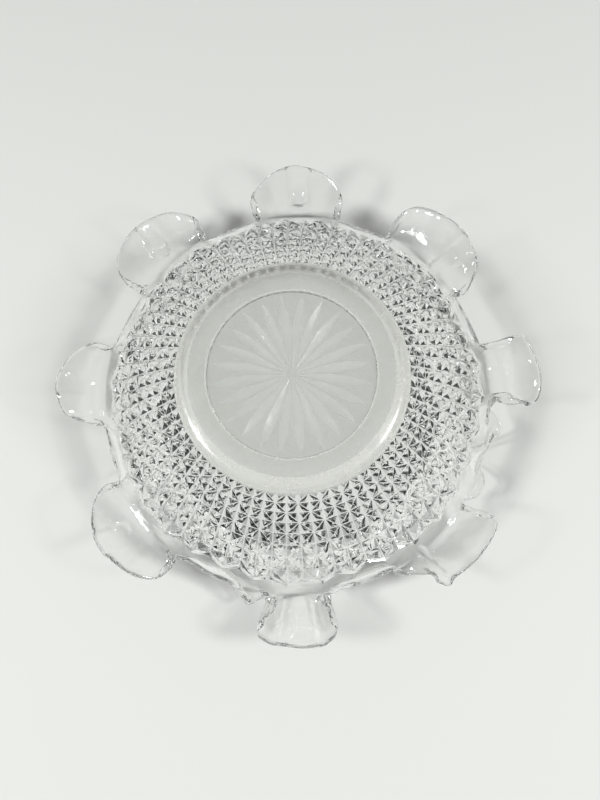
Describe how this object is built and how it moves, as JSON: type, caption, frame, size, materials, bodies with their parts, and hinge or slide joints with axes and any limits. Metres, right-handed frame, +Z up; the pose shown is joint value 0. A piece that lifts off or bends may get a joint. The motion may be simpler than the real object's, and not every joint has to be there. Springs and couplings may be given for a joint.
{
  "type": "ruffled glass dish",
  "caption": "Clear pressed glass dish with a ground foot, a star cut in its base, a conical wall of small pyramids and a crimped rim of wide ruffles.",
  "frame": {"origin": "on the table, in the middle of the rim's footprint; the dish lies mouth down on the folds of its rim, as it was seen. Turn it half a turn about X to use it", "axes": "+Z up, towards the ground foot; +Y towards the ruffle called ruffle_3, +X close to ruffle_1"},
  "size_m": [0.2051, 0.2058, 0.07],
  "materials": {
    "clear_glass": "fire-polished, smooth and very slightly wavy",
    "pressed_glass": "pressed in a mould, sharp facets, slight pebble on the star",
    "ground_glass": "ground matt on the flat ring, smooth on the shoulder"
  },
  "bodies": {
    "root": {"star_base": "pressed_glass", "foot_ring": "ground_glass", "diamond_wall": "pressed_glass", "plain_band": "clear_glass", "ruffle_1": "clear_glass", "ruffle_2": "clear_glass", "ruffle_3": "clear_glass", "ruffle_4": "clear_glass", "ruffle_5": "clear_glass", "ruffle_6": "clear_glass", "ruffle_7": "clear_glass", "ruffle_8": "clear_glass"}
  },
  "joints": []
}
